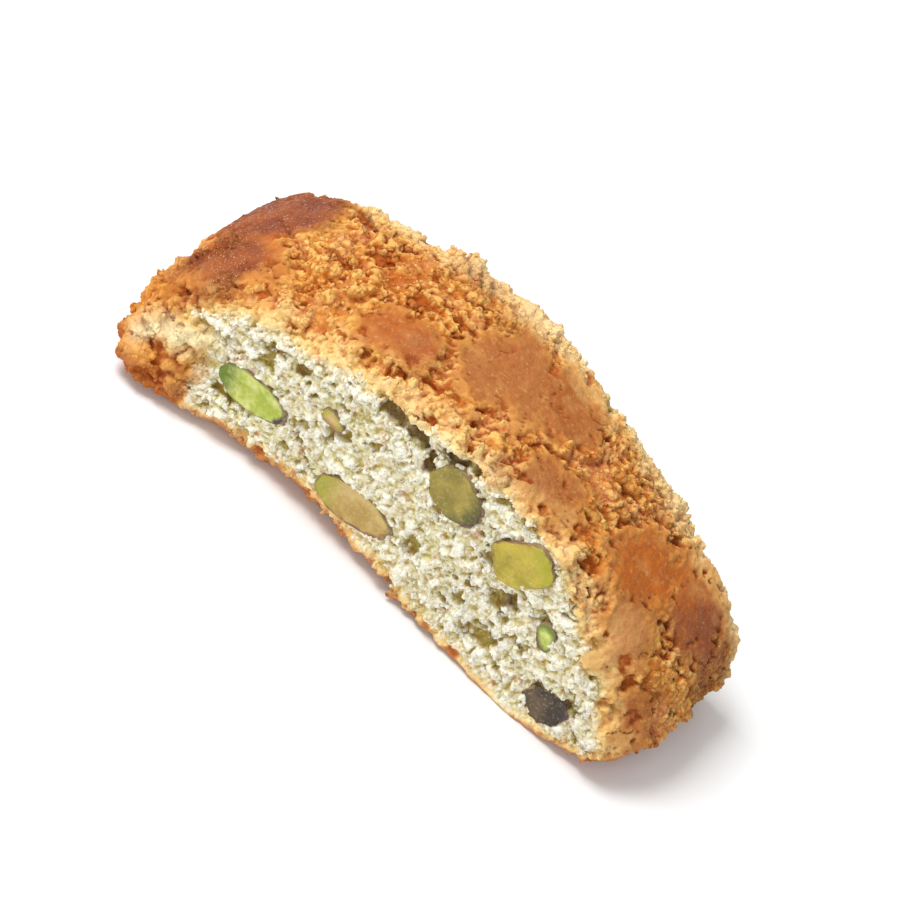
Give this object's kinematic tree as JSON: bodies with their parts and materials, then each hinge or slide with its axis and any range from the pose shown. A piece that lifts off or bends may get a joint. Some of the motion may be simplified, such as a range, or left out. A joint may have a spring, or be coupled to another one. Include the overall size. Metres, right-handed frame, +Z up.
{
  "type": "cookie",
  "caption": "Domed slice of a twice-baked loaf with a craggy browned crust, two cut crumb faces showing pistachio pieces, and a flat base to rest on.",
  "frame": {"origin": "middle of the bounding box at the flat base, on the floor that the cookie rests on", "axes": "+X along the slice towards its blunt end, +Y through its thickness towards the far cut face, +Z up"},
  "size_m": [0.0924, 0.0336, 0.0316],
  "materials": {
    "baked_crumb": "matte, rough and crumbly",
    "pistachio": "matte, slightly waxy on the cut"
  },
  "bodies": {
    "root": {"cookie": "baked_crumb", "pistachio_front_left": "pistachio", "pistachio_front_low": "pistachio", "pistachio_front_crown": "pistachio", "pistachio_front_right": "pistachio", "pistachio_front_end": "pistachio", "pistachio_back_left": "pistachio", "pistachio_back_middle": "pistachio", "pistachio_back_right": "pistachio"}
  },
  "joints": []
}
